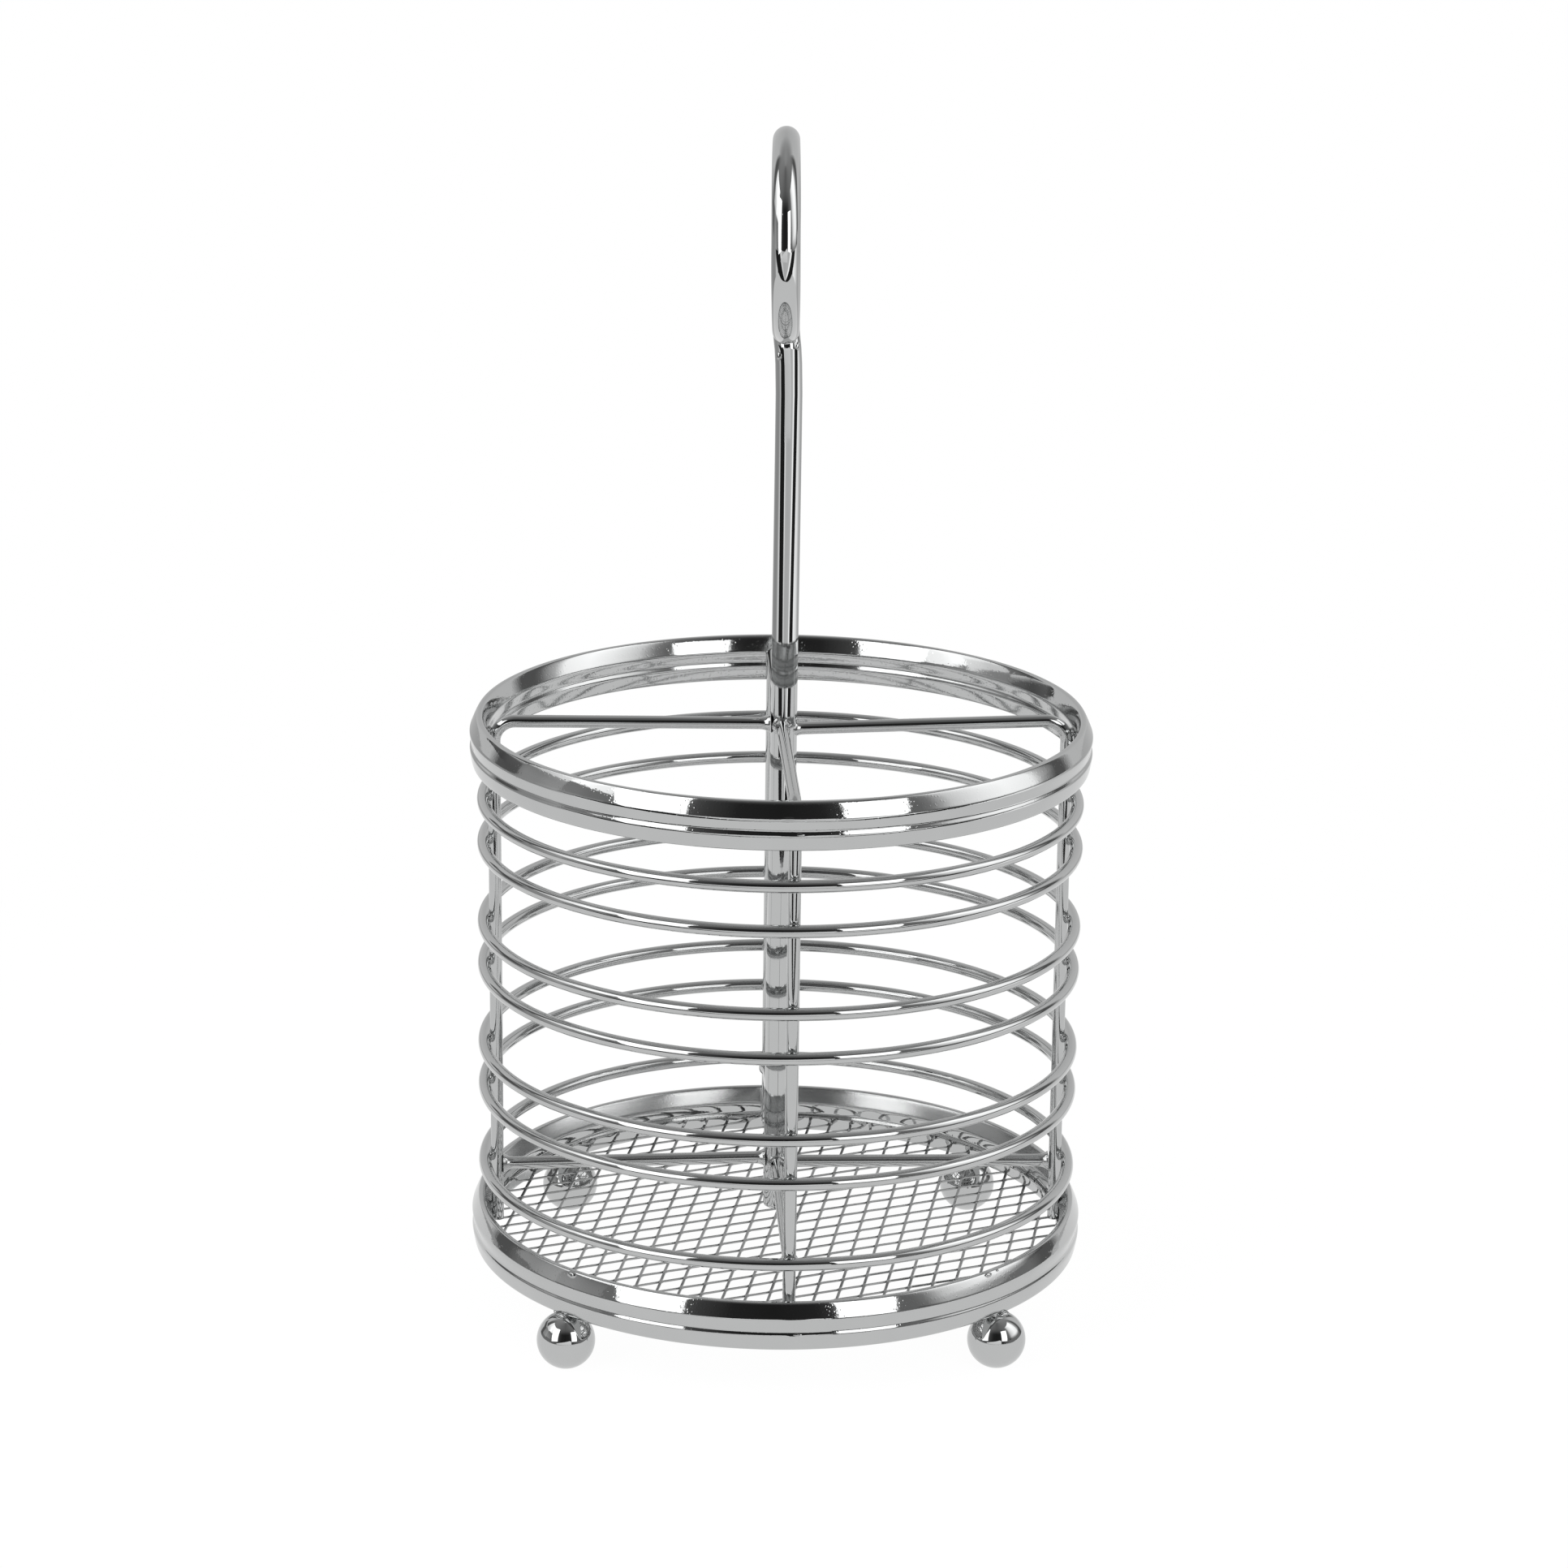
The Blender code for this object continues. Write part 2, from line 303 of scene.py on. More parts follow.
# Thick drawn rod: the smoothest of them, long soft ripples only
rodChrome = platedSteel("brightChromeOnDrawnRod", dict(
    colour=chromeHex, cloudColour="#c1c2c2", cloudSize=10.0, roughness=0.03,
    peelSize=0.9, peelDepth=0.0012, waveSize=9.0, waveDepth=0.006,
    pitSpacing=9.0, pitSize=0.14, pitDepth=0.04))
# Bearing ball: polished before plating, a pit here and there
ballChrome = platedSteel("brightChromeOnPolishedBall", dict(
    colour=chromeHex, cloudColour="#c2c3c3", cloudSize=6.0, roughness=0.03,
    peelSize=1.1, peelDepth=0.0010, waveSize=6.0, waveDepth=0.005,
    pitSpacing=4.2, pitSize=0.28, pitDepth=0.10))
# Expanded metal: sheared faces take the plate unevenly, so the strands look darker and duller than wire
netChrome = platedSteel("dullChromeOnExpandedMetal", dict(
    colour="#abacac", cloudColour="#8e8f8f", cloudSize=3.0, roughness=0.12,
    peelSize=0.35, peelDepth=0.006, waveSize=2.0, waveDepth=0.02,
    pitSpacing=2.5, pitSize=0.2, pitDepth=0.04))
# Resistance welds: metal squeezed out and frozen in lumps, plated over, so reflections break up small
weldChrome = platedSteel("platedWeldMetal", dict(
    colour="#c2c3c3", cloudColour="#a3a4a4", cloudSize=0.9, roughness=0.06,
    peelSize=0.5, peelDepth=0.004, waveSize=1.4, waveDepth=0.02,
    pitSpacing=1.6, pitSize=0.2, pitDepth=0.03))
print("finishes made")


hoop = dict(
    segments=360,
    rounds=2,                # passes that round the corners of the section
    thickness=4.4 * mm,
    backRise=0.33 * mm,      # both hoops sit a touch low at the front and high at the back
    # half width, height: one side of the strip's section from the crest down, as shares
    section=((0.20, 1.00), (0.34, 0.97), (0.62, 0.853), (0.86, 0.734), (0.95, 0.688),
             (0.975, 0.650), (0.96, 0.600), (0.83, 0.470), (0.812, 0.445), (0.812, 0.420),
             (0.845, 0.393), (0.930, 0.358), (0.960, 0.330), (0.966, 0.298), (0.80, 0.095),
             (0.72, 0.030), (0.50, 0.00)),
    bumpReach=3.0,           # a bump ends at this many times its half size
    # where a weld shows through outside: turn in degrees, share of the height, then half width along,
    # half height and how proud, in mm
    rimBumps=((269.5, 0.65, 1.6, 0.55, 0.22), (270.4, 0.30, 1.2, 0.38, 0.26),
              (90, 0.65, 1.5, 0.5, 0.15)),
    baseBumps=((271.7, 0.65, 1.4, 0.5, 0.22), (271.7, 0.30, 1.1, 0.38, 0.20)),
)
hoopMiddle = hoopRadius - hoop["thickness"] / 2


def roundedSection():
    half = hoop["thickness"] / 2
    outer, inner = ([Vector((hoopMiddle + side * half * width, hoopHeight * height))
                     for width, height in hoop["section"]] for side in (1, -1))
    points = outer + inner[::-1]
    for _ in range(hoop["rounds"]):
        cut = []
        for here, there in zip(points, points[1:] + points[:1]):
            cut += [here.lerp(there, 0.25), here.lerp(there, 0.75)]
        points = cut
    return points


def outwardNormals(section):
    normals = []
    for index, point in enumerate(section):
        along = section[(index + 1) % len(section)] - section[index - 1]
        normals.append(Vector((-along.y, along.x)).normalized())
    if normals[0].dot(section[0] - Vector((hoopMiddle, hoopHeight / 2))) < 0:
        normals = [-normal for normal in normals]
    return normals


def bumpHeight(bumps, turn, point):
    proud = 0.0
    for azimuth, share, along, across, height in bumps:
        away = math.radians((turn - azimuth + 180) % 360 - 180) * hoopRadius / (along * mm)
        up = (point.y - share * hoopHeight) / (across * mm)
        if point.x > hoopMiddle and away * away + up * up < hoop["bumpReach"] ** 2:
            proud += height * mm * math.exp(-away * away - up * up)
    return proud


def makeHoop(name, bottom, bumps, finish):
    section = roundedSection()
    normals = outwardNormals(section)
    shape = bmesh.new()
    loops = []
    for step in range(hoop["segments"]):
        turn = 360 * step / hoop["segments"]
        rise = hoop["backRise"] * math.sin(math.radians(turn))
        loop = []
        for point, normal in zip(section, normals):
            spot = point + normal * bumpHeight(bumps, turn, point)
            radial = min(spot.x, hoopRadius)
            loop.append(shape.verts.new(turned((radial, 0, bottom + spot.y + rise), turn)))
        loops.append(loop)
    for loop, following in zip(loops, loops[1:] + loops[:1]):
        bridge(shape, loop, following)
    return meshPiece(name, shape, finish)


rim = makeHoop("plated_top_rim", rimLow.z, hoop["rimBumps"], stripChrome)
finishPiece(rim, "rolled_strip", "top_rim")
base = makeHoop("plated_base_ring", baseLow.z, hoop["baseBumps"], shadedStripChrome)
finishPiece(base, "rolled_strip", "base_ring")
print("hoops turned")


wire = dict(
    sides=24,
    ringSteps=300,
    weldSink=0.4 * mm,       # wires are pressed into each other by the weld
    waviness=0.10 * mm,      # hand-bent, so never quite true
    waveLength=38.0 * mm,
    bendRadius=4.6 * mm,
    bendSteps=18,
    bendStraights=(0.6, 1.5, 3.0, 20.0),   # mm of straight wire beside it that keep highlights true
    # weld metal runs out along a bar in a fillet: length in mm, how much wider at the weld, steps
    filletLength=2.4,
    filletFlare=0.55,
    filletSteps=12,
    filletTail=(2.8, 3.6, 8.0),            # mm from the end, where the wire has its own width again
    # where each bar and upright really runs, in mm off the true drawing:
    # bar height at the post, at the bend, upright out at the top, at the foot, sideways at the upright
    barSet=dict(
        right=(-1.05, 0.95, 0.50, 0.70, 0.0),
        left=(0.15, 0.45, 0.70, 0.35, 0.0),
        front=(0.10, 0.10, 0.50, 0.50, 0.9),
        back=(0.20, 0.10, 0.50, 0.50, 0.0),
    ),
    # lower bar: height at the post, at the upright
    lowBarSet=dict(right=(-0.30, -0.15), left=(0.60, -0.80), front=(0.0, 0.0), back=(0.0, 0.0)),
)

wireTree, socket = newTree("sweptWire", {
    "Wire Radius": "Float", "Sides": "Int", "Waviness": "Float", "Wave Length": "Float", "Seed": "Float",
    "Finish": "Material"})
waveScale = maths(wireTree, "DIVIDE", 1.0, socket["Wave Length"])
handBent = wandered(wireTree, socket["Geometry"], socket["Seed"], waveScale, 0.0, socket["Waviness"])
outline = addNode(wireTree, "GeometryNodeCurvePrimitiveCircle", {
    "Resolution": socket["Sides"], "Radius": socket["Wire Radius"]}, mode="RADIUS")
width = addNode(wireTree, "GeometryNodeInputRadius")
swept = addNode(wireTree, "GeometryNodeCurveToMesh", {
    "Curve": handBent, "Profile Curve": outline.outputs[0], "Scale": width.outputs[0],
    "Fill Caps": True})
closeTree(wireTree, softened(wireTree, swept.outputs[0]), socket["Finish"])


# path: points with the share of the radius that the wire has there
def makeWire(name, path, radius, finish, seed, closed=False, sides=wire["sides"],
             waviness=wire["waviness"]):
    curve = bpy.data.curves.new(name, "CURVE")
    curve.dimensions = "3D"
    spline = curve.splines.new("POLY")
    spline.points.add(len(path) - 1)
    for target, (point, width) in zip(spline.points, path):
        target.co = (*point, 1.0)
        target.radius = width
    spline.use_cyclic_u = closed
    return settle(addObject(name, curve), wireTree, {
        "Wire Radius": radius, "Sides": sides, "Waviness": waviness, "Wave Length": wire["waveLength"],
        "Seed": float(seed), "Finish": finish}, name)


turns = [math.tau * step / wire["ringSteps"] for step in range(wire["ringSteps"])]
plan = [(ringRadius * math.cos(turn), ringRadius * math.sin(turn)) for turn in turns]
for number, height in enumerate(ringHeights, start=1):
    circle = [((*spot, height), 1.0) for spot in plan]
    piece = makeWire(f"plated_wire_ring_{number}", circle, wireRadius, wireChrome, number * 3.7,
                     closed=True)
    finishPiece(piece, "drawn_wire", f"wire_ring_{number}")

fillet = []
for step in range(wire["filletSteps"] + 1):
    share = step / wire["filletSteps"]
    fillet.append((wire["filletLength"] * share, 1 + wire["filletFlare"] * (1 - share) ** 2.4))
fillet += [(away, 1.0) for away in wire["filletTail"]]


def flared(start, end):
    start, end = Vector(start), Vector(end)
    along = (end - start).normalized()
    return [(start + along * away * mm, width) for away, width in fillet]


# The wire's bend as an arc between two straight lengths
def bentRound(before, corner, end):
    before, corner, end = Vector(before), Vector(corner), Vector(end)
    back, on = (before - corner).normalized(), (end - corner).normalized()
    half = back.angle(on) / 2
    away = wire["bendRadius"] / math.tan(half)
    centre = corner + (back + on).normalized() * wire["bendRadius"] / math.sin(half)
    first, last = ((corner + aim * away - centre).normalized() for aim in (back, on))
    shares = [step / wire["bendSteps"] for step in range(wire["bendSteps"] + 1)]
    arc = [centre + first.slerp(last, share) * wire["bendRadius"] for share in shares]
    lengths = wire["bendStraights"]
    points = [arc[0] + back * length * mm for length in lengths[::-1]] + arc
    points += [arc[-1] + on * length * mm for length in lengths] + [end]
    return [(point, 1.0) for point in points]


def makeBar(name, path, turn, seed):
    path = [(turned(point, turn), width) for point, width in path]
    piece = makeWire(f"plated_{name}", path, wireRadius, wireChrome, seed + turn / 7)
    finishPiece(piece, "drawn_wire", name)


for side, turn in sideTurns.items():
    atPost, atBend, outTop, outFoot, sideways = (value * mm for value in wire["barSet"][side])
    start = (postRadius - wire["weldSink"], 0.0, barHeight + atPost)
    bend = (uprightRadius + outTop, sideways, barHeight + atBend)
    end = (uprightRadius + outFoot, sideways, barLow.z)
    makeBar(f"divider_{side}", flared(start, bend) + bentRound(start, bend, end), turn, 40)
    inner, outer = (value * mm for value in wire["lowBarSet"][side])
    start = (postRadius - wire["weldSink"], 0.0, lowBarHeight + inner)
    end = (uprightRadius - wireRadius + wire["weldSink"], sideways, lowBarHeight + outer)
    makeBar(f"lower_bar_{side}", flared(start, end) + flared(end, start)[::-1], turn, 60)
print("wires drawn")


rod = dict(
    sides=48,
    domeHeight=1.4 * mm,     # the rod's lower end is rounded off
    domeSteps=8,
    straightSteps=60,
    neckBend=5.0 * mm,
    neckSteps=22,
    eyeSteps=120,
    eyeSquash=(0.93, 0.984),     # the eye is flatter than a circle, below its middle and above it
    eyeTurn=2.6,             # degrees that the eye is twisted out of the front-to-back plane
    eyeEnd=272.0,            # degrees round the eye to its end, which is sunk into the neck
    # height, sideways lean in mm
    lean=((0.0, 0.0), (60.0, 0.15), (134.0, 0.55), (206.0, 0.75), (213.0, 0.60), (221.0, -0.05),
          (240.0, -0.25), (264.0, -0.5)),
)


def rodLean(height):
    places = rod["lean"]
    for (low, before), (high, after) in zip(places, places[1:]):
        if height <= high * mm:
            share = (height / mm - low) / (high - low)
            share = share * share * (3 - 2 * share)
            return (before + (after - before) * share) * mm
    return places[-1][1] * mm


def squashed(height):
    return eyeCentre + (height - eyeCentre) * rod["eyeSquash"][height > eyeCentre]


# Depth, height and share of the radius, from the rounded foot up, through the neck and round the eye
def rodOutline():
    neck = rod["neckBend"]
    straightTop = eyeCentre - math.sqrt(eyeRadius ** 2 + 2 * neck * eyeRadius)
    lean = math.asin(neck / (neck + eyeRadius))
    bottom = postLow.z
    stations = []
    for step in range(1, rod["domeSteps"]):
        turn = math.pi / 2 * step / rod["domeSteps"]
        stations.append((0.0, bottom + rod["domeHeight"] * (1 - math.cos(turn)), math.sin(turn)))
    rise = squashed(straightTop) - bottom - rod["domeHeight"]
    for step in range(rod["straightSteps"]):
        stations.append((0.0, bottom + rod["domeHeight"] + rise * step / rod["straightSteps"], 1.0))
    for step in range(rod["neckSteps"] + 1):
        turn = math.pi + (math.pi / 2 + lean - math.pi) * step / rod["neckSteps"]
        height = squashed(straightTop + neck * math.sin(turn))
        stations.append((neck * (1 + math.cos(turn)), height, 1.0))
    start = math.degrees(lean) - 90
    for step in range(1, rod["eyeSteps"] + 1):
        turn = math.radians(start + (rod["eyeEnd"] - start) * step / rod["eyeSteps"])
        height = squashed(eyeCentre + eyeRadius * math.sin(turn))
        stations.append((eyeRadius * math.cos(turn), height, 1.0))
    return stations


def rodPath():
    path = []
    for depth, height, width in rodOutline():
        along = turned((0.0, depth, 0.0), -rod["eyeTurn"])
        path.append(((along.x + rodLean(height), along.y, height), width))
    return path


piece = makeWire("plated_centre_post_handle", rodPath(), postRadius, rodChrome, 5.0, sides=rod["sides"],
                 waviness=0.0)
finishPiece(piece, "post_rod", "centre_post_handle")
print("rod bent")


net = dict(
    longPitch=10.3 * mm,
    shortPitch=5.6 * mm,
    heading=52.0,            # degrees of the long way from +X
    origin=(-24.9, 1.6),     # one bond, in mm
    bondLength=0.9 * mm,
    strand=0.60 * mm,        # width of a strand in plan
    gauge=0.36 * mm,
    tilt=-11.0,              # degrees that shearing left each strand tipped
    edgeRadius=63.6 * mm,
    edgeRise=1.6 * mm,       # cut ends are pushed up the inside of the base ring
    bondShares=(0.0, 0.8),   # stations along half a bond, then along a half strand
    strandShares=(0.22, 0.6, 1.0),
    snap=0.01 * mm,          # neighbours closer than this become one
    ripple=0.2 * mm,
    rippleLength=9.0 * mm,
    reach=60,                # half strands laid out each way before the trim
    seed=11,
)


# One bond with the four half strands that leave it
def netKnuckle():
    shape = bmesh.new()
    slope = math.tan(math.radians(net["tilt"]))
    half = net["strand"] / 2
    rise = net["gauge"] / 2 / math.cos(math.radians(net["tilt"]))
    bond = net["bondLength"] / 2
    end = Vector((net["longPitch"] / 4, net["shortPitch"] / 4))
    corner = Vector((bond, half))
    heading = (end - corner).normalized()
    across = Vector((-heading.y, heading.x)) * half
    # stations: centre, half width, how far the tilt lifts the centre
    sections = [(Vector((bond * share, half)), Vector((0.0, half)), half) for share in net["bondShares"]]
    sections += [(corner.lerp(end, share), across, half * (1 - share)) for share in net["strandShares"]]
    for u in (1, -1):
        for v in (1, -1):
            rows = []
            for centre, wide, lift in sections:
                row = []
                for side, up in ((-1, 1), (1, 1), (1, -1), (-1, -1)):
                    plan = centre + wide * side
                    height = v * (lift + wide.y * side) * slope + up * rise
                    row.append(shape.verts.new((u * plan.x, v * plan.y, height)))
                rows.append(row)
            for index, (row, following) in enumerate(zip(rows, rows[1:])):
                for side in range(4):
                    if side == 3 and index == 0:
                        continue             # the two halves of the bond meet here
                    after = (side + 1) % 4
                    face = (row[side], row[after], following[after], following[side])
                    shape.faces.new(face if u * v > 0 else face[::-1])
    bmesh.ops.remove_doubles(shape, verts=shape.verts, dist=0.001 * mm)
    mesh = bpy.data.meshes.new("netKnuckle")
    shape.to_mesh(mesh)
    shape.free()
    return addObject("netKnuckle", mesh)


netTree, socket = newTree("expandedNet", {
    "Knuckle": "Object", "Edge Radius": "Float", "Edge Rise": "Float", "Height": "Float",
    "Heading": "Float", "Ripple": "Float", "Ripple Length": "Float", "Snap": "Float", "Seed": "Float",
    "Finish": "Material"})
unit = addNode(netTree, "GeometryNodeObjectInfo", {"Object": socket["Knuckle"]})
spin = addNode(netTree, "FunctionNodeAxisAngleToRotation", {
    "Axis": (0.0, 0.0, 1.0), "Angle": socket["Heading"]})
laid = addNode(netTree, "GeometryNodeInstanceOnPoints", {
    "Points": socket["Geometry"], "Instance": unit.outputs["Geometry"], "Rotation": spin.outputs[0]})
real = addNode(netTree, "GeometryNodeRealizeInstances", {"Geometry": laid.outputs[0]})
joined = addNode(netTree, "GeometryNodeMergeByDistance", {
    "Geometry": real.outputs[0], "Distance": socket["Snap"]})
rippleScale = maths(netTree, "DIVIDE", 1.0, socket["Ripple Length"])
rippled = wandered(netTree, joined.outputs[0], socket["Seed"], rippleScale, 1.0, socket["Ripple"])
# Everything past the edge radius is pressed in to it and turned up
spot = addNode(netTree, "GeometryNodeInputPosition").outputs[0]
flat = vectorMaths(netTree, "MULTIPLY", spot, (1.0, 1.0, 0.0))
over = maths(netTree, "SUBTRACT", vectorMaths(netTree, "LENGTH", flat), socket["Edge Radius"])
isOver = maths(netTree, "GREATER_THAN", over, 0.0)
isGone = maths(netTree, "GREATER_THAN", over, socket["Edge Rise"])
trimmed = addNode(netTree, "GeometryNodeDeleteGeometry", {
    "Geometry": rippled, "Selection": isGone}, domain="POINT")
pulled = vectorMaths(netTree, "SCALE", vectorMaths(netTree, "NORMALIZE", flat), socket["Edge Radius"])
height = addNode(netTree, "ShaderNodeSeparateXYZ", {0: spot}).outputs["Z"]
upright = addNode(netTree, "ShaderNodeCombineXYZ", {"Z": maths(netTree, "ADD", height, over)})
edgeSpot = vectorMaths(netTree, "ADD", pulled, upright.outputs[0])
turnedUp = addNode(netTree, "GeometryNodeSetPosition", {
    "Geometry": trimmed.outputs[0], "Selection": isOver, "Position": edgeSpot})
netLift = addNode(netTree, "ShaderNodeCombineXYZ", {"Z": socket["Height"]})
seated = addNode(netTree, "GeometryNodeTransform", {
    "Geometry": turnedUp.outputs[0], "Translation": netLift.outputs[0]})
closeTree(netTree, seated.outputs[0], socket["Finish"])


def makeNet():
    along = turned((net["longPitch"] / 2, 0.0, 0.0), net["heading"])
    across = turned((0.0, net["shortPitch"] / 2, 0.0), net["heading"])
    origin = Vector((net["origin"][0] * mm, net["origin"][1] * mm, 0.0))
    limit = net["edgeRadius"] + net["longPitch"] / 2
    places = []
    for row in range(-net["reach"], net["reach"] + 1):
        for column in range(-net["reach"], net["reach"] + 1):
            place = origin + along * row + across * column
            if (row + column) % 2 == 0 and place.length < limit:
                places.append(place)
    mesh = bpy.data.meshes.new("bonds")
    mesh.from_pydata(places, [], [])
    knuckle = netKnuckle()
    piece = settle(addObject("bonds", mesh), netTree, {
        "Knuckle": knuckle, "Edge Radius": net["edgeRadius"], "Edge Rise": net["edgeRise"],
        "Height": netHeight, "Heading": math.radians(net["heading"]), "Ripple": net["ripple"],
        "Ripple Length": net["rippleLength"], "Snap": net["snap"], "Seed": float(net["seed"]),
        "Finish": netChrome}, "plated_mesh_floor")
    bpy.data.objects.remove(knuckle)
    return piece


finishPiece(makeNet(), "expanded_metal", "mesh_floor")
print("floor net laid")


foot = dict(
    ballRadius=6.38 * mm,
    flatRadius=1.9 * mm,
    neckRadius=1.9 * mm,
    neckWaist=0.35 * mm,     # the weld neck draws in halfway
    neckFlare=0.1 * mm,      # and widens up against the base ring
    neckSink=0.25 * mm,
    neckSteps=6,
    segments=64,
    rings=40,
)


# Radius and height up the ball and its weld neck
def footOutline():
    radius = foot["ballRadius"]
    height = math.sqrt(radius ** 2 - foot["flatRadius"] ** 2)
    start = -math.acos(foot["flatRadius"] / radius)
    stop = math.acos(foot["neckRadius"] / radius)
    outline = []
    for step in range(foot["rings"] + 1):
        turn = start + (stop - start) * step / foot["rings"]
        outline.append((radius * math.cos(turn), max(0.0, height + radius * math.sin(turn))))
    low, high = outline[-1][1], baseLow.z + foot["neckSink"]
    for step in range(1, foot["neckSteps"] + 1):
        share = step / foot["neckSteps"]
        change = foot["neckFlare"] * share ** 2 - foot["neckWaist"] * math.sin(math.pi * share)
        outline.append((foot["neckRadius"] + change, low + (high - low) * share))
    return outline


def makeFoot(corner):
    centre = Vector((footPlaces[corner].x, footPlaces[corner].y, 0))
    turns = [360 * step / foot["segments"] for step in range(foot["segments"])]
    shape = bmesh.new()
    rows = []
    for radial, height in footOutline():
        rows.append([shape.verts.new(centre + turned((radial, 0, height), turn)) for turn in turns])
    for row, following in zip(rows, rows[1:]):
        bridge(shape, row, following)
    shape.faces.new(rows[0][::-1])
    shape.faces.new(rows[-1])
    return meshPiece(f"plated_ball_foot_{corner}", shape, ballChrome)


for corner in footPlaces:
    finishPiece(makeFoot(corner), "ball", f"ball_foot_{corner}")
print("feet turned")


# Half sizes are out, sideways and up, in mm
weld = dict(
    lumpiness=0.34,
    lumpSize=1.0 * mm,
    seed=4,
    unevenness=0.18,         # share by which welds of one kind differ in size
    ringLump=(0.75, 1.25, 1.15),
    ringSink=0.1 * mm,
    ringFlash=(0.6, 0.5, 0.75),  # squeezed out on both sides of an upright
    flashSink=0.2 * mm,
    flashAside=1.15 * mm,
    flashRise=0.35 * mm,
    hoopLump=(0.45, 1.0, 1.0),
    hoopSink=0.05 * mm,
    # where uprights meet the inside of a hoop: mm above its lower edge
    rimHeights=(2.2, 6.4),
    baseHeights=(2.0, 6.6),
    # where the front upright's weld has pushed through the bead: turn, radius, half sizes
    rimPimple=(271.4, 67.96, (0.50, 1.45, 0.46)),
    basePimple=(272.2, 67.96, (0.50, 1.45, 0.46)),
    pimpleHeight=3.35 * mm,
    # spatter and flash: turn in degrees, radius and height in mm, half sizes
    spatter=(
        (169.6, 65.0, 133.2, (0.25, 0.9, 0.22)), (167.4, 64.8, 132.7, (0.3, 1.5, 0.25)),
        (164.7, 64.56, 132.2, (0.3, 1.6, 0.22)), (162.4, 64.4, 131.95, (0.35, 1.2, 0.28)),
        (160.3, 64.34, 131.7, (0.3, 1.4, 0.22)), (157.7, 64.3, 131.5, (0.25, 1.5, 0.2)),
        (155.1, 64.28, 131.35, (0.25, 1.2, 0.16)), (-132.7, 67.0, 22.1, (0.85, 1.35, 0.85)),
        (-48.5, 66.9, 22.3, (0.6, 1.2, 0.55)), (-46.0, 66.9, 22.6, (0.4, 0.5, 0.3)),
    ),
    # round each ball's neck: out, sideways in mm, half sizes
    footLumps=((1.7, 0.3, (0.8, 1.5, 0.5)), (0.6, -1.9, (1.0, 0.8, 0.45))),
    footSink=0.22 * mm,
    # where the eye's end meets the neck: sideways, forward, height in mm, half sizes
    neckLumps=((0.9, 2.7, 218.1, (1.0, 0.7, 0.45)), (-1.9, 1.9, 214.6, (0.7, 0.7, 1.0)),
               (1.9, 1.5, 216.6, (0.7, 0.8, 1.2))),
)

weldTree, socket = newTree("weldNuggets", {
    "Lumpiness": "Float", "Lump Size": "Float", "Seed": "Float", "Finish": "Material"})
blob = addNode(weldTree, "GeometryNodeMeshIcoSphere", {"Radius": 1.0, "Subdivisions": 4})
lie = addNode(weldTree, "GeometryNodeInputNamedAttribute", {"Name": "lie"}, data_type="FLOAT_VECTOR")
size = addNode(weldTree, "GeometryNodeInputNamedAttribute", {"Name": "size"}, data_type="FLOAT_VECTOR")
aim = addNode(weldTree, "FunctionNodeEulerToRotation", {"Euler": lie.outputs["Attribute"]})
placed = addNode(weldTree, "GeometryNodeInstanceOnPoints", {
    "Points": socket["Geometry"], "Instance": blob.outputs[0], "Rotation": aim.outputs[0],
    "Scale": size.outputs["Attribute"]})
blobs = addNode(weldTree, "GeometryNodeRealizeInstances", {"Geometry": placed.outputs[0]})
lumpScale = maths(weldTree, "DIVIDE", 1.0, socket["Lump Size"])
lumpAmount = maths(weldTree, "MULTIPLY", socket["Lumpiness"], socket["Lump Size"])
lumpy = wandered(weldTree, blobs.outputs[0], socket["Seed"], lumpScale, 2.0, lumpAmount)
closeTree(weldTree, softened(weldTree, lumpy), socket["Finish"])


# places: point, turn about Z in degrees, half sizes
def makeWelds(name, places):
    mesh = bpy.data.meshes.new(name)
    mesh.from_pydata([place for place, _, _ in places], [], [])
    lies = mesh.attributes.new("lie", "FLOAT_VECTOR", "POINT")
    halves = mesh.attributes.new("size", "FLOAT_VECTOR", "POINT")
    for index, (_, turn, half) in enumerate(places):
        lies.data[index].vector = (0.0, 0.0, math.radians(turn))
        halves.data[index].vector = [value * mm for value in half]
    piece = settle(addObject(name, mesh), weldTree, {
        "Lumpiness": weld["lumpiness"], "Lump Size": weld["lumpSize"], "Seed": float(weld["seed"]),
        "Finish": weldChrome}, name)
    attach(piece, "root")


# Half sizes that differ a little from weld to weld: the same key gives the same ones
def uneven(values, key):
    shares = [noise.noise(Vector((key * 7.13, index * 3.7, 0.5))) for index in range(len(values))]
    return [value * (1 + weld["unevenness"] * share) for value, share in zip(values, shares)]


crossing = []
for side, turn in sideTurns.items():
    _, _, outTop, outFoot, sideways = (value * mm for value in wire["barSet"][side])
    for number, height in enumerate(ringHeights):
        share = (barHeight - height) / (barHeight - barLow.z)
        radial = uprightRadius + outTop + (outFoot - outTop) * share + wireRadius
        spot = turned((radial - weld["ringSink"], sideways, height), turn)
        crossing.append((spot, turn, uneven(weld["ringLump"], turn + number)))
        for hand in (-1, 1):
            aside = sideways + hand * weld["flashAside"]
            spot = turned((radial - weld["flashSink"], aside, height + weld["flashRise"]), turn)
            crossing.append((spot, turn, uneven(weld["ringFlash"], turn + number * 3 + hand)))
makeWelds("welds_wire_rings", crossing)

